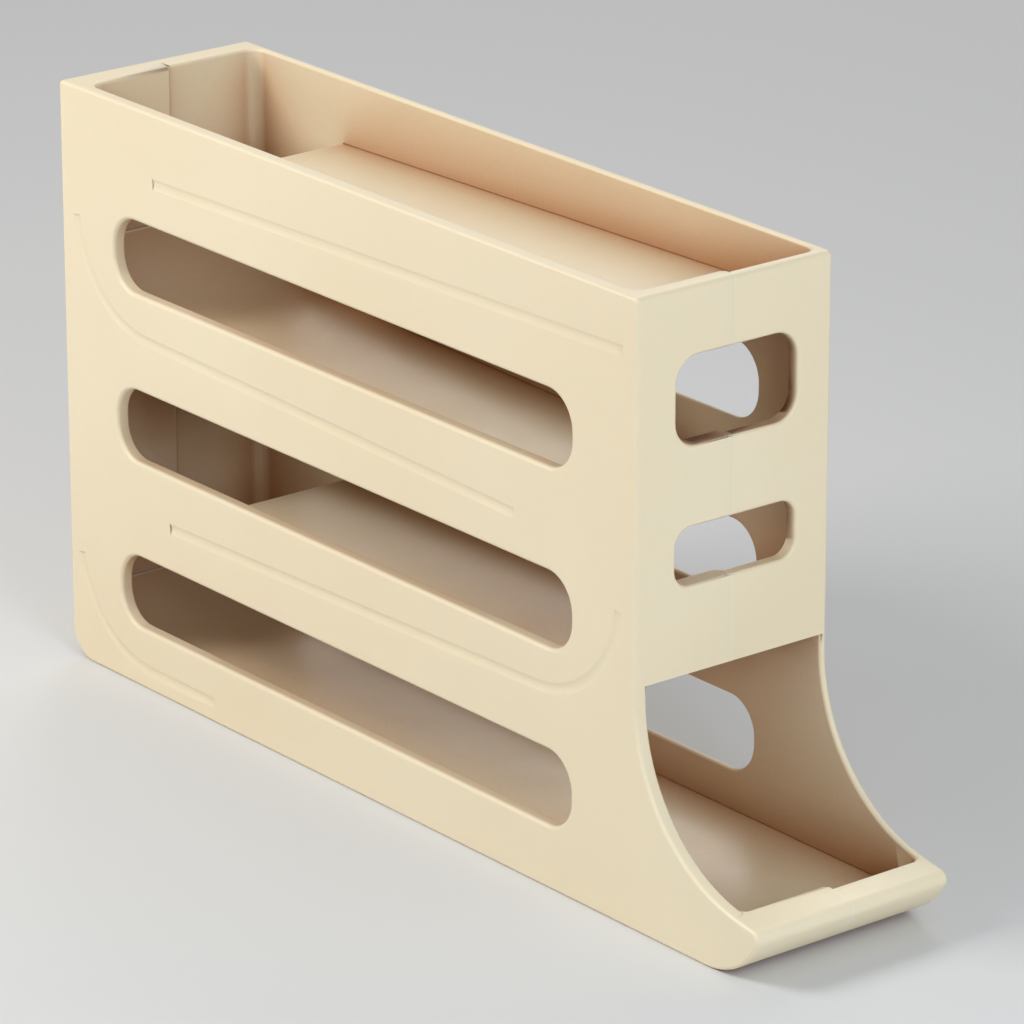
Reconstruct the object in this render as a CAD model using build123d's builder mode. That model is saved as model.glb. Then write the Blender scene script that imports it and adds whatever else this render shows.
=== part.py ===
from build123d import *
import math
import os

os.makedirs("parts", exist_ok=True)

# A four-tier rolling egg holder for a fridge shelf.
# Two half shells meet on the middle plane and hold four floors in channels.
# The load goes in at the open top, rolls back and forth down the floors
# and comes to rest in the tray that sticks out at the foot of the front.
# X runs from the back to the tray, Y from the near side to the far side,
# Z up from the shelf. All lengths are in millimetres.

# Overall body
overall_length = 357.0
body_width = 77.3
body_height = 204.9
bottom_wall = 2.2

# Walls of the far shell. The near shell's are thicker by the wall step.
side_wall = 2.5
front_wall = 4.2
back_wall = 9.1
lip_wall = 5.9
wall_step = 2.4

# Tray at the foot of the front. The hollow sweep above it is two arcs, and
# the lower one, which is the flatter, ends at the tip of the lip. Behind the
# lip the bottom is solid for the toe's length, up to just above the base floor.
tray_length = 54.3
toe_length = 14.0
toe_height = 7.8
lip_height = 18.2
sweep_height = 53.6
sweep_upper_radius = 49.2
sweep_upper_angle = 45.5
front_edge_drop = 8.3
heel_radius = 11.5
nose_flat = 0.2

# Edge roundings of the shells
side_edge_radius = 1.2
rim_corner_spare = 0.5
rim_inner_radius = 1.2
inner_corner_radius = 5.0
seam_step_size = 2.0
seam_step_radius = 2.6
lip_inner_radius = 3.0

# Depth of the open top tier. The covered tiers share the height below it.
top_tier_depth = 26.7
covered_tiers = 3

# Long slots in both side panels, one beside each covered tier
slot_start = 29.6
slot_end_margin = 31.3
slot_height = 25.5
slot_end_flat = 1.2
slot_lift = 21.4
slot_edge_radius = 1.4
slot_inner_edge_radius = 0.8

# Windows in the front panel, one into each of the two upper covered tiers
window_width = 48.0
window_shift = 1.2
upper_window_lift = 34.9
upper_window_height = 28.8
upper_window_radius = 8.5
lower_window_lift = 49.2
lower_window_height = 19.0
lower_window_radius = 6.0
window_edge_radius = 1.2

# Floors that the load rolls on. A lift is a floor's height over its tier's
# base at its low end or bend, and drop_gap is the room left to drop through.
# base_channel_lift is the base channel's height over the bottom, at the lip.
floor_thickness = 2.4
floor_slope = 1.4
base_slope = 0.2
tongue_depth = 0.9
drop_gap = 58.0
top_floor_lift = 2.7
upper_chute_lift = 6.3
upper_bend_inset = 48.3
upper_bend_angle = 81.4
lower_chute_lift = 7.6
lower_bend_inset = 49.0
lower_bend_angle = 81.5
base_bend_inset = 45.8
base_bend_angle = 78.5
base_channel_lift = 2.3
back_bend_radius = 40.0
front_bend_radius = 41.0

# Channels that hold the floors, and the seam between the shells
fit_gap = 0.3
channel_end_gap = 0.15
seam_tongue_inset = 0.6
seam_tongue_thickness = 0.7
seam_tongue_depth = 2.0
seam_tongue_setback = 0.5
seam_clearance = 0.15

# Faint grooves outside, where the panel has sunk in over a channel
mark_width = 3.0
mark_depth = 0.55
mark_overshoot = 5.0
mark_base_run = 37.0

# The overrun of every cut, and the reach of every edge selector
overrun = 5.0
reach = 0.3

# Positions and sizes that follow from the ones above
box_length = overall_length - tray_length
back_x = -overall_length / 2
front_x = back_x + box_length
tip_x = back_x + overall_length
half_width = body_width / 2
far_inner = half_width - side_wall
near_inner = far_inner - wall_step
channel_depth = tongue_depth + fit_gap
channel_reach = inner_corner_radius + overrun
far_floor_half = far_inner + tongue_depth
near_floor_half = near_inner + tongue_depth
straight_down = -90.0
straight_left = 180.0

rim_corner_radius = side_edge_radius + rim_corner_spare
nose_radius = lip_height - rim_corner_radius - nose_flat
sweep_top = lip_height + sweep_height
tray_opening_top = sweep_top + front_edge_drop
top_tier_base = body_height - top_tier_depth
tier_pitch = top_tier_base / covered_tiers
upper_tier_base = top_tier_base - tier_pitch
middle_tier_base = upper_tier_base - tier_pitch
slot_length = box_length - slot_start - slot_end_margin
slot_corner_radius = slot_height / 2 - slot_end_flat
upper_window_low = upper_tier_base + upper_window_lift
lower_window_low = middle_tier_base + lower_window_lift

top_floor_height = top_tier_base + top_floor_lift
upper_chute_height = upper_tier_base + upper_chute_lift
upper_chute_run = box_length - upper_bend_inset - drop_gap
lower_chute_height = middle_tier_base + lower_chute_lift
lower_chute_bend = box_length - lower_bend_inset
lower_chute_run = lower_chute_bend - drop_gap
base_floor_run = overall_length - base_bend_inset
base_fall = base_floor_run * math.tan(math.radians(base_slope))
base_floor_low = bottom_wall + base_channel_lift + fit_gap
base_floor_height = base_floor_low + floor_thickness / 2 + base_fall


# Side view of the whole body: a tall box whose front sweeps down in a
# hollow curve to the low tray, with a full round nose underneath.
def body_outline():
    with BuildSketch(Plane.XZ) as outline:
        with BuildLine():
            upper = CenterArc(
                (front_x + sweep_upper_radius, sweep_top),
                sweep_upper_radius, straight_left, sweep_upper_angle,
            )
            lower = TangentArc(upper @ 1, (tip_x, lip_height), tangent=upper % 1)
            Polyline(lower @ 1, (tip_x, 0), (back_x, 0), (back_x, body_height),
                     (front_x, body_height), upper @ 0)
        make_face()
        fillet(outline.vertices().group_by(Axis.Y)[-1], radius=rim_corner_radius)
        fillet(outline.vertices().group_by(Axis.X)[0].sort_by(Axis.Y)[0], radius=heel_radius)
        fillet(outline.vertices().group_by(Axis.X)[-1].sort_by(Axis.Y)[0], radius=nose_radius)
        fillet(outline.vertices().group_by(Axis.X)[-1].sort_by(Axis.Y)[-1],
               radius=rim_corner_radius)
    return outline.sketch


# Side view of the hollow between the side panels. It is open at the top
# and, below the front panel, open at the front above the tray. extra is
# what its end walls are thicker by than the far shell's.
def hollow(extra):
    inner_back = back_x + back_wall + extra
    inner_front = front_x - front_wall - extra
    inner_lip = tip_x - lip_wall - extra
    inner_toe = tip_x - toe_length - extra
    with BuildSketch(Plane.XZ) as space:
        with BuildLine():
            Polyline(
                (inner_back, bottom_wall),
                (inner_toe, bottom_wall),
                (inner_toe, toe_height),
                (inner_lip, toe_height),
                (inner_lip, tray_opening_top),
                (inner_front, tray_opening_top),
                (inner_front, body_height + overrun),
                (inner_back, body_height + overrun),
                close=True,
            )
        make_face()
    return space.sketch


# A point at a distance and an angle from a centre, in a side view.
def at_angle(centre, distance, angle):
    turn = math.radians(angle)
    return centre + Vector(math.cos(turn), math.sin(turn)) * distance


# What a bent floor follows: the centre of its bend, the angle where the
# straight run starts, the angle where the bend ends, and the run itself.
# heading is 1 where the run goes to the front and -1 where it goes back.
def bend_layout(bend, height, radius, bend_angle, run, slope, heading):
    centre = Vector(back_x + bend, height + radius)
    run_angle = straight_down - heading * slope
    turned = math.radians(run_angle)
    along = Vector(-math.sin(turned), math.cos(turned)) * (heading * run)
    return centre, run_angle, run_angle - heading * bend_angle, along


# Side view of a floor with a bend at one end. The bend is an arc about
# a centre above the floor, and the straight run leaves it at a tangent.
# spare is what a channel is longer and thicker by than its floor.
def bent_floor(bend, height, radius, bend_angle, run, slope, heading, spare):
    centre, run_angle, end_angle, along = bend_layout(
        bend, height, radius, bend_angle + math.degrees(spare / radius),
        run + spare, slope, heading,
    )
    inner = radius - floor_thickness / 2 - spare
    outer = radius + floor_thickness / 2 + spare
    inner_start = at_angle(centre, inner, run_angle)
    outer_start = at_angle(centre, outer, run_angle)
    with BuildSketch(Plane.XZ) as sheet:
        with BuildLine():
            CenterArc(centre, inner, end_angle, run_angle - end_angle)
            Line(inner_start, inner_start + along)
            Line(inner_start + along, outer_start + along)
            Line(outer_start + along, outer_start)
            CenterArc(centre, outer, run_angle, end_angle - run_angle)
            Line(at_angle(centre, outer, end_angle), at_angle(centre, inner, end_angle))
        make_face()
    return sheet.sketch


# The two ends of the straight top floor, which falls towards the back.
def top_floor_ends(start, end):
    slope = math.radians(floor_slope)
    low_end = Vector(back_x + start, top_floor_height)
    rise = (end - start) * math.tan(slope)
    return low_end, low_end + Vector(end - start, rise)


# Side view of the top floor.
def straight_floor(start, end, thickness):
    low_end, high_end = top_floor_ends(start, end)
    slope = math.radians(floor_slope)
    across = Vector(-math.sin(slope), math.cos(slope)) * (thickness / 2)
    with BuildSketch(Plane.XZ) as sheet:
        with BuildLine():
            Polyline(
                low_end - across,
                high_end - across,
                high_end + across,
                low_end + across,
                close=True,
            )
        make_face()
    return sheet.sketch


# The four floors as side views. spare widens and lengthens them, so that
# the same views also give the channels the floors sit in.
def top_floor_view(spare):
    return straight_floor(drop_gap - spare, box_length, floor_thickness + 2 * spare)


def upper_chute_view(spare):
    return bent_floor(
        upper_bend_inset, upper_chute_height, back_bend_radius,
        upper_bend_angle, upper_chute_run, floor_slope, 1, spare,
    )


def lower_chute_view(spare):
    return bent_floor(
        lower_chute_bend, lower_chute_height, front_bend_radius,
        lower_bend_angle, lower_chute_run, floor_slope, -1, spare,
    )


def base_floor_view(spare):
    return bent_floor(
        base_bend_inset, base_floor_height, back_bend_radius,
        base_bend_angle, base_floor_run, base_slope, 1, spare,
    )


# The channels, each stopped a little before the end walls.
def channel_views(extra):
    views = []
    for view in (top_floor_view, upper_chute_view, lower_chute_view, base_floor_view):
        with BuildSketch(Plane.XZ) as channel:
            add(hollow(extra + channel_end_gap))
            add(view(fit_gap), mode=Mode.INTERSECT)
        views.append(channel.sketch)
    return views


# Plan of the room from the back wall to the inside of a wall in front,
# which is shorter and narrower on the near side. Floors are trimmed to it.
def floor_plan(front_inside):
    far_gap = channel_end_gap + fit_gap
    near_gap = wall_step + far_gap
    back_inside = back_x + back_wall
    with BuildSketch(Plane.XY) as plan:
        with BuildLine():
            Polyline(
                (back_inside + near_gap, 0),
                (back_inside + near_gap, -near_floor_half),
                (front_inside - near_gap, -near_floor_half),
                (front_inside - near_gap, 0),
                (front_inside - far_gap, 0),
                (front_inside - far_gap, far_floor_half),
                (back_inside + far_gap, far_floor_half),
                (back_inside + far_gap, 0),
                close=True,
            )
        make_face()
    return plan.sketch


# Three long round-ended slots, one beside each covered tier.
def slot_views():
    with BuildSketch(Plane.XZ) as slots:
        for tier in range(covered_tiers):
            middle = slot_lift + tier * tier_pitch + slot_height / 2
            with Locations((back_x + slot_start + slot_length / 2, middle)):
                RectangleRounded(slot_length, slot_height, slot_corner_radius)
    return slots.sketch


# Two windows in the front panel, seen from the front.
def window_views():
    with BuildSketch(Plane.YZ) as windows:
        with Locations((window_shift, upper_window_low + upper_window_height / 2)):
            RectangleRounded(window_width, upper_window_height, upper_window_radius)
        with Locations((window_shift, lower_window_low + lower_window_height / 2)):
            RectangleRounded(window_width, lower_window_height, lower_window_radius)
    return windows.sketch


# A thin band just inside the outline. On the far shell it is a tongue, set
# back from the inside, and on the near shell the groove that takes it.
def seam_band(spare):
    outer = seam_tongue_inset - spare
    inner = seam_tongue_inset + seam_tongue_thickness + spare
    return (
        offset(body_outline(), amount=-outer)
        - offset(body_outline(), amount=-inner)
        - hollow(spare - seam_tongue_setback)
    )


# One faint groove of round section along a path on the near side's face.
def mark_along(path):
    section_plane = Plane(origin=path @ 0, x_dir=(0, -1, 0), z_dir=path % 0)
    with BuildSketch(section_plane) as section:
        with BuildLine():
            ThreePointArc(
                (mark_depth, mark_width), (-mark_depth, 0), (mark_depth, -mark_width)
            )
            Line((mark_depth, -mark_width), (mark_depth, mark_width))
        make_face()
    return sweep(section.sketch, path=path)


# The path of a bent floor's mark on the near face.
def bent_mark_path(bend, height, radius, bend_angle, run, slope, heading):
    centre, run_angle, end_angle, along = bend_layout(
        bend, height, radius, bend_angle, run, slope, heading
    )
    start = at_angle(centre, radius, run_angle)
    with BuildLine() as path:
        CenterArc(centre, radius, end_angle, run_angle - end_angle)
        Line(start, start + along)
    return Plane.XZ.offset(half_width) * path.wire()


# All four marks. The top one starts a little before its floor and the
# lowest soon fades out along the bottom edge.
def side_marks():
    with BuildLine() as top_path:
        Line(*top_floor_ends(drop_gap - mark_overshoot, box_length - front_wall - wall_step))
    paths = [
        Plane.XZ.offset(half_width) * top_path.wire(),
        bent_mark_path(
            upper_bend_inset, upper_chute_height, back_bend_radius,
            upper_bend_angle, upper_chute_run, floor_slope, 1,
        ),
        bent_mark_path(
            lower_chute_bend, lower_chute_height, front_bend_radius,
            lower_bend_angle, lower_chute_run, floor_slope, -1,
        ),
        bent_mark_path(
            base_bend_inset, base_floor_height, back_bend_radius,
            base_bend_angle, mark_base_run, base_slope, 1,
        ),
    ]
    return [mark_along(path) for path in paths]


# Plan of what is rounded off the near shell's thick walls at the seam, where
# they stand proud of the far shell's. inward is the side the wall is on, and
# low is the height that the rounding starts at.
def seam_step(face_x, inward, low):
    on_wall = (face_x, -seam_step_size)
    on_seam = (face_x + inward * seam_step_size, 0)
    with BuildSketch(Plane.XY.offset(low)) as corner:
        with BuildLine():
            Polyline(on_wall, (face_x, 0), on_seam)
            RadiusArc(on_seam, on_wall, inward * seam_step_radius)
        make_face()
    return corner.sketch


# Upright inside corners of a shell between its panel and an end wall.
def upright_corners(shell, y, x):
    return shell.edges().filter_by(Axis.Z).filter_by(
        lambda edge: abs(edge.center().Y - y) < reach
        and abs(edge.center().X - x) < reach
    )


# The inside edges round the open top, and those round the tray opening:
# the hollow curve of the panel and the top of the lip.
def rim_edges(shell, extra, inner):
    inside = shell.edges().filter_by_position(
        Axis.X, back_x + back_wall + extra - reach, front_x - front_wall - extra + reach
    )
    return inside.filter_by(
        lambda edge: edge.center().Z > body_height - reach
        and abs(edge.center().Y) < inner + reach
    )


def tray_edges(shell, extra, inner):
    lip_x = tip_x - lip_wall - extra
    inside = shell.edges().filter_by(
        lambda edge: abs(edge.center().Y) < inner + reach
        and abs(edge.center().Y) > seam_step_size / 2
    )
    low = inside.filter_by_position(Axis.Z, lip_height - reach, tray_opening_top - reach)
    return low.filter_by_position(Axis.X, front_x - reach, lip_x + reach)


# The edges of the slots on one face of a panel.
def slot_edges(shell, y):
    panel = shell.faces().filter_by(Axis.Y).filter_by(
        lambda face: abs(face.center().Y - y) < reach
    ).sort_by(SortBy.AREA)[-1]
    return [edge for wire in panel.inner_wires() for edge in wire.edges()]


# The edges of the windows on the outside of the front panel.
def window_edges(shell):
    front = shell.edges().filter_by_position(Axis.X, front_x - reach, front_x + reach)
    return front.filter_by(
        lambda edge: abs(edge.center().Y - window_shift) < window_width / 2 + reach
        and abs(edge.center().Y) > seam_step_size
        and edge.center().Z > tray_opening_top + reach
        and edge.center().Z < body_height - rim_corner_radius - reach
    )


near_marks = side_marks()
near_groove = seam_band(seam_clearance)
far_tongue = seam_band(0)


# Near shell: the near side panel with its half of the back wall, front
# panel, bottom and tray lip. Its walls are the thick ones, which shows as
# a step halfway across the rim and the lip.
with BuildPart() as near_shell:
    extrude(body_outline(), amount=half_width)
    outside = near_shell.faces().sort_by(Axis.Y)[0]
    fillet(outside.outer_wire().edges(), radius=side_edge_radius)
    extrude(hollow(wall_step), amount=near_inner, mode=Mode.SUBTRACT)
    near_back_x = back_x + back_wall + wall_step
    near_front_x = front_x - front_wall - wall_step
    near_lip_x = tip_x - lip_wall - wall_step
    for end_x in (near_back_x, near_front_x):
        fillet(upright_corners(near_shell, -near_inner, end_x), radius=inner_corner_radius)
    fillet(upright_corners(near_shell, -near_inner, near_lip_x), radius=lip_inner_radius)
    fillet(rim_edges(near_shell, wall_step, near_inner), radius=rim_inner_radius)
    fillet(tray_edges(near_shell, wall_step, near_inner), radius=rim_inner_radius)
    extrude(seam_step(near_back_x, -1, bottom_wall), amount=body_height, mode=Mode.SUBTRACT)
    extrude(seam_step(near_front_x, 1, bottom_wall), amount=body_height, mode=Mode.SUBTRACT)
    extrude(seam_step(near_lip_x, 1, toe_height), amount=body_height, mode=Mode.SUBTRACT)
    extrude(slot_views(), amount=half_width + overrun, mode=Mode.SUBTRACT)
    fillet(slot_edges(near_shell, -half_width), radius=slot_edge_radius)
    fillet(slot_edges(near_shell, -near_inner), radius=slot_inner_edge_radius)
    extrude(window_views(), amount=front_x + overrun, mode=Mode.SUBTRACT)
    fillet(window_edges(near_shell), radius=window_edge_radius)
    for view in channel_views(wall_step):
        extrude(Pos(Y=channel_reach - near_inner) * view,
                amount=channel_reach + channel_depth, mode=Mode.SUBTRACT)
    extrude(near_groove, amount=seam_tongue_depth + fit_gap, mode=Mode.SUBTRACT)
    add(near_marks, mode=Mode.SUBTRACT)

near_shell.part.label = "near_shell"
export_step(near_shell.part, "parts/near_shell.step")


# Far shell: the mirrored half, with thinner walls and a tongue along its
# seam that enters the near shell's groove.
with BuildPart() as far_shell:
    extrude(body_outline(), amount=-half_width)
    outside = far_shell.faces().sort_by(Axis.Y)[-1]
    fillet(outside.outer_wire().edges(), radius=side_edge_radius)
    extrude(hollow(0), amount=-far_inner, mode=Mode.SUBTRACT)
    for end_x in (back_x + back_wall, front_x - front_wall):
        fillet(upright_corners(far_shell, far_inner, end_x), radius=inner_corner_radius)
    fillet(upright_corners(far_shell, far_inner, tip_x - lip_wall), radius=lip_inner_radius)
    fillet(rim_edges(far_shell, 0, far_inner), radius=rim_inner_radius)
    fillet(tray_edges(far_shell, 0, far_inner), radius=rim_inner_radius)
    extrude(slot_views(), amount=-half_width - overrun, mode=Mode.SUBTRACT)
    fillet(slot_edges(far_shell, half_width), radius=slot_edge_radius)
    fillet(slot_edges(far_shell, far_inner), radius=slot_inner_edge_radius)
    extrude(far_tongue, amount=seam_tongue_depth)
    extrude(window_views(), amount=front_x + overrun, mode=Mode.SUBTRACT)
    fillet(window_edges(far_shell), radius=window_edge_radius)
    for view in channel_views(0):
        extrude(Pos(Y=far_inner - channel_reach) * view,
                amount=-channel_reach - channel_depth, mode=Mode.SUBTRACT)
    add([mark.mirror(Plane.XZ) for mark in near_marks], mode=Mode.SUBTRACT)

far_shell.part.label = "far_shell"
export_step(far_shell.part, "parts/far_shell.step")


# Top floor: the open tier. It falls to the back and stops short of the
# back wall, so that the load drops onto the chute below.
with BuildPart() as top_floor:
    extrude(top_floor_view(0), amount=far_floor_half, both=True)
    extrude(floor_plan(front_x - front_wall), amount=body_height, mode=Mode.INTERSECT)

top_floor.part.label = "top_floor"
export_step(top_floor.part, "parts/top_floor.step")


# Upper chute: catches the load at the back and lets it roll to the front.
with BuildPart() as upper_chute:
    extrude(upper_chute_view(0), amount=far_floor_half, both=True)
    extrude(floor_plan(front_x - front_wall), amount=body_height, mode=Mode.INTERSECT)

upper_chute.part.label = "upper_chute"
export_step(upper_chute.part, "parts/upper_chute.step")


# Lower chute: turned the other way, it catches at the front.
with BuildPart() as lower_chute:
    extrude(lower_chute_view(0), amount=far_floor_half, both=True)
    extrude(floor_plan(front_x - front_wall), amount=body_height, mode=Mode.INTERSECT)

lower_chute.part.label = "lower_chute"
export_step(lower_chute.part, "parts/lower_chute.step")


# Base floor: catches at the back and leads out to the toe of the tray.
with BuildPart() as base_floor:
    extrude(base_floor_view(0), amount=far_floor_half, both=True)
    extrude(floor_plan(tip_x - toe_length), amount=body_height, mode=Mode.INTERSECT)

base_floor.part.label = "base_floor"
export_step(base_floor.part, "parts/base_floor.step")
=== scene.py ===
# %% [markdown]
# # A rolling holder for a fridge shelf
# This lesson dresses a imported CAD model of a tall, narrow rolling holder. The
# load goes in at the open top, rolls down four sloping floors and waits in the
# low tray at the front. The solids already have nearly the whole shape, so
# Blender's work is one small change to that shape and what a maker would call
# the finish: the fine skin of moulded plastic, its warm cream colour, and the
# light that shows both.

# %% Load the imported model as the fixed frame
import math

import bmesh
import bpy
from mathutils import Matrix, Vector
from mathutils.kdtree import KDTree


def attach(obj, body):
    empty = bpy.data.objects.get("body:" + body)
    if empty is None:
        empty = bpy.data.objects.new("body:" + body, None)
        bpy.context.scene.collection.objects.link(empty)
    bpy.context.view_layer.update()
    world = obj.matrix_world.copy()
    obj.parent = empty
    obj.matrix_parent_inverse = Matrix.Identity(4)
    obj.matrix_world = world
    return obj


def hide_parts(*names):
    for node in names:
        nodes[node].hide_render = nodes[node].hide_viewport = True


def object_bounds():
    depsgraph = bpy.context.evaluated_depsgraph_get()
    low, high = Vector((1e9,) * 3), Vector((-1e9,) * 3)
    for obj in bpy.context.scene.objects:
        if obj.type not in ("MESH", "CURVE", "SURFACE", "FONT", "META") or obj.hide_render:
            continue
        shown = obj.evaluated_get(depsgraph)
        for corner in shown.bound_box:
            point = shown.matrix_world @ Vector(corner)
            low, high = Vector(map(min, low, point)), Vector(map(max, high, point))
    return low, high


mm = 0.001
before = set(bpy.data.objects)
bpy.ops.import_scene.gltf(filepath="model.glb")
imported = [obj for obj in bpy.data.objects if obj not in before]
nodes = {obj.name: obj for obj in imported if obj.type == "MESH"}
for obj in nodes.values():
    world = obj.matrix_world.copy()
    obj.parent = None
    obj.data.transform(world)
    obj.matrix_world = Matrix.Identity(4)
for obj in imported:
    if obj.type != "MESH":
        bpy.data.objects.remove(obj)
cad_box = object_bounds()
back_x = cad_box[0][0]
print("pieces of the frame:", ", ".join(sorted(nodes)))
print("CAD box in mm:", [round((b - a) / mm, 1) for a, b in zip(*cad_box)])

# %% [markdown]
# ## The camera
# The holder is seen from its near side and front, a little from above, through
# a long lens, so its upright edges stay almost parallel. A short lens close by
# would fill the picture as well, but it would spread the edges and make a small
# product look huge. The camera stands about two metres away. A heading, a dip
# and hardly any roll say how it is turned, which is easier to read and to
# correct than three Euler angles.

# %% Set up the camera
camera_place = Vector((1.4894, -1.17039, 0.78252))
camera_heading = math.radians(51.548)
camera_dip = math.radians(19.989)
camera_roll = math.radians(0.068)

camera_data = bpy.data.cameras.new("camera")
camera_data.lens = 220.21
camera_data.sensor_width = 36
camera_data.clip_end = 20
camera = bpy.data.objects.new("camera", camera_data)
bpy.context.scene.collection.objects.link(camera)

forward = Vector((
    -math.sin(camera_heading) * math.cos(camera_dip),
    math.cos(camera_heading) * math.cos(camera_dip),
    -math.sin(camera_dip),
))
right = forward.cross(Vector((0, 0, 1))).normalized()
down = forward.cross(right)
image_right = math.cos(camera_roll) * right + math.sin(camera_roll) * down
image_up = image_right.cross(forward)
turn = Matrix((image_right, image_up, -forward)).transposed()
camera.matrix_world = Matrix.Translation(camera_place) @ turn.to_4x4()
bpy.context.scene.camera = camera
print("camera stands", round(camera_place.length, 2), "m from the holder")

# %% [markdown]
# ## The end of the tray
# On the real holder the lip reaches a little further out than on the solids.
# Its nose rises from the shelf like the bow of a boat and ends in a small
# round tip, and the hollow sweep above it is one large arc. Sculpting or a
# lattice could push the tip out, but neither would give true arcs. Here both
# side outlines are laid out as points that belong together in pairs, and each
# vertex near the outline moves as its nearest pair says. Deeper in, the shift
# fades to nothing, so walls, slots and channels stay where they are.

# %% Functions that lay out points along a line and an arc
def along_line(start, end, count):
    return [start.lerp(end, (i + 0.5) / count) for i in range(count)]


def along_arc(centre, radius, start, end, count):
    angles = [math.radians(start + (end - start) * (i + 0.5) / count) for i in range(count)]
    return [centre + radius * Vector((math.cos(a), math.sin(a))) for a in angles]


print("a line in two steps:", along_line(Vector((0, 0)), Vector((4, 0)), 2))

# %% The side outline of the solids, from the front face round to the bottom
front_x = back_x + 302.7 * mm
cad_tip_x = back_x + 357.0 * mm
opening_top = 80.1 * mm
cad_upper_radius = 49.2 * mm
cad_upper_centre = Vector((front_x + cad_upper_radius, 71.8 * mm))
cad_lower_radius = 65.2 * mm
cad_meeting_angle = 225.5
cad_lip_angle = 260.5
cad_end_angle = 263.1
towards_meeting = Vector((
    math.cos(math.radians(cad_meeting_angle)), math.sin(math.radians(cad_meeting_angle))
))
cad_lower_centre = cad_upper_centre + (cad_upper_radius - cad_lower_radius) * towards_meeting
cad_rim_radius = 1.7 * mm
cad_nose_radius = 16.3 * mm
cad_nose_centre = Vector((cad_tip_x - cad_nose_radius, cad_nose_radius))
cad_rim_centre = Vector((cad_tip_x - cad_rim_radius, cad_nose_radius + 0.2 * mm))
cad_turn_angle = -15.0
outline_start = Vector((front_x, opening_top))
outline_end = Vector((back_x + 320.0 * mm, 0))

# How many points each part gets, the same on both outlines.
front_points = 20
half_sweep_points = 120
lip_points = 30
rim_points = 12
turn_points = 18
nose_points = 90
bottom_points = 30
cad_outline = (
    along_line(outline_start, Vector((front_x, cad_upper_centre.y)), front_points)
    + along_arc(cad_upper_centre, cad_upper_radius, 180, cad_meeting_angle, half_sweep_points)
    + along_arc(
        cad_lower_centre, cad_lower_radius, cad_meeting_angle, cad_lip_angle, half_sweep_points
    )
    + along_arc(cad_lower_centre, cad_lower_radius, cad_lip_angle, cad_end_angle, lip_points)
    + along_arc(cad_rim_centre, cad_rim_radius, 90, 0, rim_points)
    + along_arc(cad_nose_centre, cad_nose_radius, 0, cad_turn_angle, turn_points)
    + along_arc(cad_nose_centre, cad_nose_radius, cad_turn_angle, -90, nose_points)
    + along_line(Vector((cad_nose_centre.x, 0)), outline_end, bottom_points)
)
print("outline of the solids:", len(cad_outline), "points")

# %% Where the arcs of the real tray meet
tip_x = back_x + 361.3 * mm
sweep_radius = 56.1 * mm
sweep_centre = Vector((front_x + sweep_radius, 75.9 * mm))
tip_radius = 3.0 * mm
tip_centre = Vector((tip_x - tip_radius, 15.8 * mm))
nose_radius = 28.2 * mm

# The flat lip touches the sweep from below and the tip from above.
apart = sweep_centre - tip_centre
lip_slope = math.atan2(apart.x, apart.y) + math.acos((sweep_radius + tip_radius) / apart.length)
lip_normal = Vector((math.sin(lip_slope), math.cos(lip_slope)))
sweep_end = sweep_centre - sweep_radius * lip_normal
lip_end = tip_centre + tip_radius * lip_normal

# The tip rolls on the inside of the nose, which leaves the shelf without a kink.
nose_fall = nose_radius - tip_centre.y
nose_run = math.sqrt((nose_radius - tip_radius) ** 2 - nose_fall ** 2)
nose_angle = math.degrees(math.atan2(nose_run, nose_fall)) - 90
nose_centre = Vector((tip_centre.x - nose_run, nose_radius))
print("lip slopes by", round(math.degrees(lip_slope), 1), "degrees")
print("nose leaves the shelf", round((tip_x - nose_centre.x) / mm, 1), "mm behind the tip")

# %% The side outline of the real tray, in the same order
lip_angle = 90 - math.degrees(lip_slope)
lip_start_share = 0.36
lip_start = sweep_end.lerp(lip_end, lip_start_share)
straight_points = 14
sweep_points = 2 * half_sweep_points - straight_points
tip_points = rim_points + turn_points
real_outline = (
    along_line(outline_start, Vector((front_x, sweep_centre.y)), front_points)
    + along_arc(sweep_centre, sweep_radius, 180, 180 + lip_angle, sweep_points)
    + along_line(sweep_end, lip_start, straight_points)
    + along_line(lip_start, lip_end, lip_points)
    + along_arc(tip_centre, tip_radius, lip_angle, nose_angle, tip_points)
    + along_arc(nose_centre, nose_radius, nose_angle, -90, nose_points)
    + along_line(Vector((nose_centre.x, 0)), outline_end, bottom_points)
)
print("outline of the real tray:", len(real_outline), "points")

# %% A function that moves a point as the nearest pair says
full_depth = 3.0 * mm
last_depth = 8.0 * mm
lip_face_shift = -0.8 * mm
lip_face_reach = 3.2 * mm
toe_height = 7.0 * mm
nearest_point = KDTree(len(cad_outline))
for index, point in enumerate(cad_outline):
    nearest_point.insert((point.x, 0, point.y), index)
nearest_point.balance()


def reshaped(place, lip_face_x, inner_y):
    foot, index, depth = nearest_point.find((place.x, 0, place.z))
    if depth > last_depth:
        return place
    fade = min(1, (last_depth - depth) / (last_depth - full_depth))
    share = fade * fade * (3 - 2 * fade)
    shift = (real_outline[index] - cad_outline[index]) * share
    # The lip's inner face only moves back a little, so that the lip gets its width.
    on_lip_face = abs(place.x - lip_face_x) < lip_face_reach and abs(place.y) < inner_y
    if on_lip_face and place.z > toe_height:
        shift.x = lip_face_shift
    return place + Vector((shift.x, 0, shift.y))


tip_before = Vector((cad_tip_x, 0, cad_nose_radius))
tip_after = reshaped(tip_before, 0, 0)
print("the tip moves out by", round((tip_after - tip_before).x / mm, 1), "mm")

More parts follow.
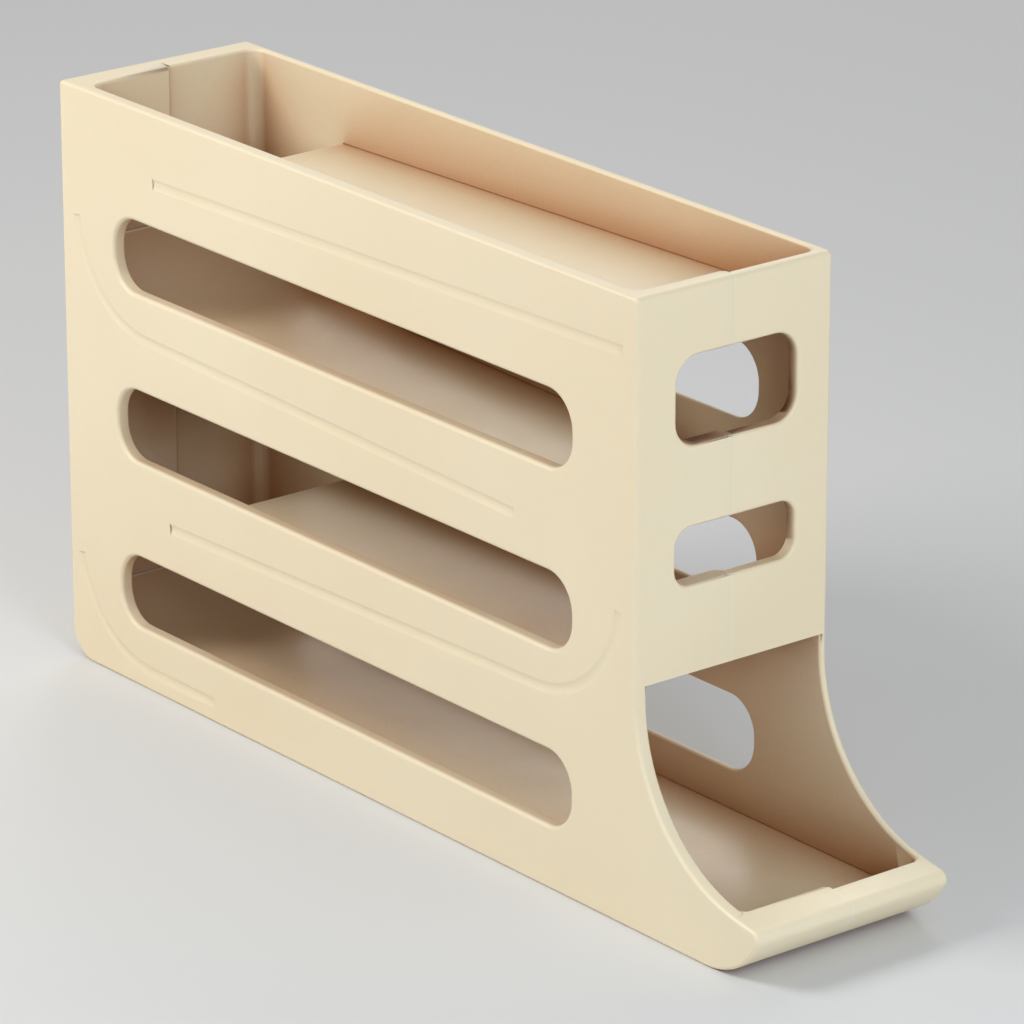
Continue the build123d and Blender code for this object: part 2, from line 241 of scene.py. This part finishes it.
# %% [markdown]
# ## Two shells with a new tray
# The holder's body is two moulded half shells that meet on the middle plane.
# The solids themselves stay untouched, because they also carry the collision
# model, so each shell is copied, its loose triangles are merged, and the copy
# is reshaped and stands for the shell. Its large flat faces are cut into long
# thin triangles. Plain smooth shading would smear the light of the rounded
# edges over them, so the normals are weighted by area, which keeps flat faces
# flat and roundings round.

# %% A function that copies a shell and reshapes the end of its tray
merge_distance = 0.002 * mm
least_move = 0.01 * mm
sharp_angle = math.radians(32)
tray_start = front_x - full_depth
tray_top = opening_top - 0.1 * mm


def reshape_shell(node, name, lip_face_x, inner_y):
    bpy.ops.object.select_all(action="DESELECT")
    skin = nodes[node].copy()
    skin.data = nodes[node].data.copy()
    skin.name = name
    bpy.context.scene.collection.objects.link(skin)
    mesh = bmesh.new()
    mesh.from_mesh(skin.data)
    bmesh.ops.remove_doubles(mesh, verts=mesh.verts, dist=merge_distance)
    moved = 0
    for vertex in mesh.verts:
        if vertex.co.x > tray_start and vertex.co.z < tray_top:
            place = reshaped(vertex.co, lip_face_x, inner_y)
            moved += (place - vertex.co).length > least_move
            vertex.co = place
    mesh.to_mesh(skin.data)
    mesh.free()
    bpy.context.view_layer.objects.active = skin
    skin.select_set(True)
    bpy.ops.object.shade_smooth_by_angle(angle=sharp_angle)
    even = skin.modifiers.new("even_shading", "WEIGHTED_NORMAL")
    even.keep_sharp = True
    even.weight = 100
    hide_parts(node)
    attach(skin, "root")
    print(name, "has", len(skin.data.vertices), "vertices, of which", moved, "moved")
    return skin


# %% Reshape both shells
near_inner_y = 33.85 * mm
far_inner_y = 36.25 * mm
near_lip_wall = 8.3 * mm
far_lip_wall = 5.9 * mm
near_skin = reshape_shell("near_shell", "near_skin", cad_tip_x - near_lip_wall, near_inner_y)
far_skin = reshape_shell("far_shell", "far_skin", cad_tip_x - far_lip_wall, far_inner_y)

# %% [markdown]
# ## The cream plastic
# The real shells are injection moulded in a cream plastic with a satin skin.
# Four things make such plastic look real: a fine texture left by the mould,
# slow drifts of colour with small rubbed patches of gloss, edges that handling
# has polished, with a painted highlight on them, and the warm tone of light
# that has bounced about in the lanes.
# A photographed texture would need to be unwrapped and would show its edges.
# Noise on Object coordinates lies on the pieces at its real scale, without
# seams, so texture, colour and gloss come from noise. Edges and lanes are found
# by nodes of their own.

# %% Helpers that add a node, and that mix two colours
# The Mix node has several sockets of the same name, so these three go by number.
mix_share, mix_first, mix_second = 0, 6, 7
mix_result = 2


def add_node(tree, kind, place, sockets=None, **settings):
    node = tree.nodes.new(kind)
    node.location = place
    for name, value in settings.items():
        setattr(node, name, value)
    for name, value in (sockets or {}).items():
        node.inputs[name].default_value = value
    return node


def mix_colour(tree, place, share, first, second):
    mix = add_node(tree, "ShaderNodeMix", place, data_type="RGBA")
    tree.links.new(share, mix.inputs[mix_share])
    tree.links.new(first, mix.inputs[mix_first])
    mix.inputs[mix_second].default_value = (*second, 1)
    return mix.outputs[mix_result]


print("ready: add_node, mix_colour")

# %% Colour: a slow drift between two creams
drift_scale = 9.0


def add_drift(tree, where, light_cream, deep_cream):
    drift = add_node(tree, "ShaderNodeTexNoise", (-900, 300), {
        "Scale": drift_scale, "Detail": 3.0, "Roughness": 0.45,
    })
    tone = add_node(tree, "ShaderNodeValToRGB", (-700, 300))
    deep, light = tone.color_ramp.elements
    deep.position, light.position = 0.3, 0.7
    deep.color, light.color = (*deep_cream, 1), (*light_cream, 1)
    tree.links.new(where.outputs["Object"], drift.inputs["Vector"])
    tree.links.new(drift.outputs["Fac"], tone.inputs["Fac"])
    return tone.outputs["Color"]


print("ready: add_drift, with patches about", round(1 / drift_scale / mm), "mm across")

# %% [markdown]
# ### The tone inside the lanes
# Light that has bounced several times between cream walls comes out warmer and
# browner than the wall itself. The renderer gives part of this. The rest is
# painted where little of the sky is seen, which the Ambient Occlusion node
# measures. A mask of the space between the panels keeps this tone off the
# outside, where the floor of the room would hide some sky as well.

# %% Colour: the brown tone between the panels
lane_reach = 60 * mm
lane_side = 37.8 * mm
lane_side_fade = 1 * mm
lane_start = back_x + 2 * mm
lane_end = cad_tip_x - 8 * mm


def add_lane_tone(tree, where):
    link = tree.links.new
    hidden = add_node(
        tree, "ShaderNodeAmbientOcclusion", (-700, 600), {"Distance": lane_reach}, samples=12
    )
    depth = add_node(tree, "ShaderNodeMapRange", (-450, 600), {"From Min": 0.85, "From Max": 0.35})
    link(hidden.outputs["AO"], depth.inputs["Value"])

    split = add_node(tree, "ShaderNodeSeparateXYZ", (-1150, 1100))
    across = add_node(tree, "ShaderNodeMath", (-950, 1100), operation="ABSOLUTE")
    inside = add_node(tree, "ShaderNodeMapRange", (-700, 1100), {
        "From Min": lane_side, "From Max": lane_side - lane_side_fade,
    })
    link(where.outputs["Object"], split.inputs["Vector"])
    link(split.outputs["Y"], across.inputs[0])
    link(across.outputs["Value"], inside.inputs["Value"])

    between = add_node(tree, "ShaderNodeMath", (-700, 1350), {
        1: (lane_start + lane_end) / 2, 2: (lane_end - lane_start) / 2,
    }, operation="COMPARE")
    both = add_node(tree, "ShaderNodeMath", (-450, 1200), operation="MULTIPLY")
    lane = add_node(tree, "ShaderNodeMath", (-200, 700), operation="MULTIPLY")
    link(split.outputs["X"], between.inputs[0])
    link(inside.outputs["Result"], both.inputs[0])
    link(between.outputs["Value"], both.inputs[1])
    link(depth.outputs["Result"], lane.inputs[0])
    link(both.outputs["Value"], lane.inputs[1])
    return lane.outputs["Value"]


print("ready: add_lane_tone, which looks", round(lane_reach / mm), "mm far")

# %% [markdown]
# ### Polished edges with a painted highlight
# Hands and the shelf rub the edges first and make them a little smoother. They
# are also painted paler, a painted highlight for the light that their small
# roundings catch. Pointiness depends on how densely a mesh is cut, so it would
# draw the triangles. The Bevel node is better here: its rounded normal differs
# from the true one only beside an edge, whatever the mesh is like.

# %% Colour: a mask of the edges, for a painted highlight and the polish
edge_width = 0.9 * mm


# This mask paints the edges paler, a painted highlight, and also makes them a little smoother.
def add_edge_highlight_and_polish(tree):
    link = tree.links.new
    rounded = add_node(tree, "ShaderNodeBevel", (-900, 900), {"Radius": edge_width}, samples=6)
    true = add_node(tree, "ShaderNodeNewGeometry", (-900, 750))
    likeness = add_node(tree, "ShaderNodeVectorMath", (-700, 850), operation="DOT_PRODUCT")
    edge_highlight_and_polish = add_node(tree, "ShaderNodeMapRange", (-450, 850), {
        "From Min": 0.985, "From Max": 0.86, "To Max": 0.55,
    })
    link(rounded.outputs["Normal"], likeness.inputs[0])
    link(true.outputs["Normal"], likeness.inputs[1])
    link(likeness.outputs["Value"], edge_highlight_and_polish.inputs["Value"])
    return edge_highlight_and_polish.outputs["Result"]


print("ready: add_edge_highlight_and_polish,", round(edge_width / mm, 1), "mm wide")

# %% [markdown]
# ### Gloss and grain
# A satin skin is never evenly glossy. Small patches are rubbed smoother, and
# the worn edges most of all. The mould's own surface is etched with a grain
# finer than a millimetre, over a wall that is not perfectly flat. The grain
# could be modelled, but at this size a bump gives the same look for no faces.

# %% Gloss: fine rubbed patches, and a smoother skin on worn edges
rub_scale = 60.0
smoothest_rub = -0.05
roughest_rub = 0.07
edge_polish = -0.14


def add_gloss(tree, where, edge_highlight_and_polish, roughness):
    link = tree.links.new
    rub = add_node(tree, "ShaderNodeTexNoise", (-900, 0), {"Scale": rub_scale, "Detail": 5.0})
    patches = add_node(tree, "ShaderNodeMapRange", (-450, 0), {
        "From Min": 0.3, "To Min": roughness + smoothest_rub,
        "From Max": 0.7, "To Max": roughness + roughest_rub,
    })
    polish = add_node(tree, "ShaderNodeMath", (-200, 0), {1: edge_polish}, operation="MULTIPLY_ADD")
    link(where.outputs["Object"], rub.inputs["Vector"])
    link(rub.outputs["Fac"], patches.inputs["Value"])
    link(edge_highlight_and_polish, polish.inputs[0])
    link(patches.outputs["Result"], polish.inputs[2])
    return polish.outputs["Value"]


print("ready: add_gloss, with patches about", round(1 / rub_scale / mm), "mm across")

# %% Skin: fine mould grain over a very shallow unevenness of the wall
grain_scale = 1400.0
wave_scale = 26.0
wave_depth = 0.5 * mm


def add_skin(tree, where, grain_depth):
    link = tree.links.new
    grain = add_node(tree, "ShaderNodeTexNoise", (-900, -300), {
        "Scale": grain_scale, "Detail": 2.0,
    })
    wave = add_node(tree, "ShaderNodeTexNoise", (-900, -560), {
        "Scale": wave_scale, "Detail": 1.0,
    })
    wave_bump = add_node(tree, "ShaderNodeBump", (200, -420), {
        "Strength": 0.3, "Distance": wave_depth,
    })
    grain_bump = add_node(tree, "ShaderNodeBump", (500, -300), {
        "Strength": 0.6, "Distance": grain_depth,
    })
    link(where.outputs["Object"], grain.inputs["Vector"])
    link(where.outputs["Object"], wave.inputs["Vector"])
    link(wave.outputs["Fac"], wave_bump.inputs["Height"])
    link(grain.outputs["Fac"], grain_bump.inputs["Height"])
    link(wave_bump.outputs["Normal"], grain_bump.inputs["Normal"])
    return grain_bump.outputs["Normal"]


print("ready: add_skin, with grain about", round(1 / grain_scale / mm, 1), "mm across")

# %% A function that puts colour, gloss and skin together as one plastic
lane_brown = (0.42, 0.165, 0.045)
# Painted highlight: the pale cream that the edge mask lays on the edges.
painted_edge_highlight = (0.96, 0.89, 0.76)


def make_cream_plastic(name, light_cream, deep_cream, roughness, grain_depth):
    material = bpy.data.materials.new(name)
    material.use_nodes = True
    tree = material.node_tree
    tree.nodes.clear()
    output = add_node(tree, "ShaderNodeOutputMaterial", (1100, 0))
    plastic = add_node(tree, "ShaderNodeBsdfPrincipled", (800, 0), {
        "IOR": 1.49,
        "Subsurface Weight": 0.12,
        "Subsurface Radius": (1.0, 0.62, 0.34),
        "Subsurface Scale": 2 * mm,
    })
    where = add_node(tree, "ShaderNodeTexCoord", (-1200, 0))
    edge_highlight_and_polish = add_edge_highlight_and_polish(tree)
    cream = add_drift(tree, where, light_cream, deep_cream)
    warm = mix_colour(tree, (0, 450), add_lane_tone(tree, where), cream, lane_brown)
    # The edges are painted paler here, a painted highlight for the light that their roundings
    # catch.
    colour = mix_colour(tree, (250, 500), edge_highlight_and_polish, warm, painted_edge_highlight)
    tree.links.new(colour, plastic.inputs["Base Color"])
    tree.links.new(add_gloss(tree, where, edge_highlight_and_polish, roughness), plastic.inputs["Roughness"])
    tree.links.new(add_skin(tree, where, grain_depth), plastic.inputs["Normal"])
    tree.links.new(plastic.outputs["BSDF"], output.inputs["Surface"])
    print("made", name, "with", len(tree.nodes), "nodes")
    return material


# %% [markdown]
# ### Two plastics, one for the shells and one for the floors
# The floors that the load rolls on are moulded smoother than the shells, and
# they look a shade deeper. The same function makes both, with other values.

# %% Make both plastics and give each piece its own
shell_plastic = make_cream_plastic(
    "cream_shell_plastic", (0.865, 0.75, 0.54), (0.84, 0.71, 0.495), 0.42, 0.05 * mm
)
floor_plastic = make_cream_plastic(
    "cream_floor_plastic", (0.845, 0.725, 0.515), (0.82, 0.69, 0.475), 0.34, 0.02 * mm
)


def dress(piece, plastic):
    piece.data.materials.clear()
    piece.data.materials.append(plastic)
    print(piece.name, "is made of", plastic.name)


for skin in (near_skin, far_skin):
    dress(skin, shell_plastic)
for name in ("top_floor", "upper_chute", "lower_chute", "base_floor"):
    dress(nodes[name], floor_plastic)

# %% [markdown]
# ## Floor and light
# A product is photographed on a plain pale floor under large soft lights, which
# leave no hard shadow and show the roundings as gentle gradients. The side
# light stands near, high and to the left, so the side panel fades from its top
# left corner to its foot. A cooler one lights the front, a weak one the back,
# and an even world fills the lanes. One big light would be simpler, but front
# and side would then get the same tone and the corner between them would go.

# %% Make the floor
bpy.ops.object.select_all(action="DESELECT")
bpy.ops.mesh.primitive_plane_add(size=12)
ground = bpy.context.object
ground.name = "ground"
ground_paint = bpy.data.materials.new("ground_paint")
ground_paint.use_nodes = True
paint = ground_paint.node_tree.nodes["Principled BSDF"]
paint.inputs["Base Color"].default_value = (0.7, 0.7, 0.7, 1)
paint.inputs["Roughness"].default_value = 0.9
ground.data.materials.append(ground_paint)
print("floor is", [round(x, 2) for x in ground.dimensions])

# %% A function that makes a soft box aimed at the holder
holder_middle = Vector((0, 0, 100 * mm))


def soft_box(name, place, size, power, colour=(1, 1, 1)):
    lamp = bpy.data.lights.new(name, "AREA")
    lamp.shape = "DISK"
    lamp.size = size
    lamp.energy = power
    lamp.color = colour
    box = bpy.data.objects.new(name, lamp)
    bpy.context.scene.collection.objects.link(box)
    box.location = place
    aim = holder_middle - Vector(place)
    box.rotation_euler = aim.to_track_quat("-Z", "Y").to_euler()
    print(name, power, "W at", place)


# %% Place the lights and set the world
warm_white = (1, 0.985, 0.95)
cool_white = (0.8, 0.91, 1)
soft_box("side_light", place=(-0.45, -0.7, 0.78), size=0.5, power=6.5, colour=warm_white)
soft_box("front_light", place=(1.1, -0.25, 0.55), size=0.6, power=6.5, colour=cool_white)
soft_box("back_light", place=(-1.6, 1.8, 1.8), size=1.6, power=14)

world = bpy.data.worlds.new("studio")
bpy.context.scene.world = world
world.use_nodes = True
air = world.node_tree.nodes["Background"]
air.inputs["Color"].default_value = (1, 1, 1, 1)
air.inputs["Strength"].default_value = 0.41
bpy.context.scene.view_settings.view_transform = "Standard"
print("world strength", round(air.inputs["Strength"].default_value, 2))
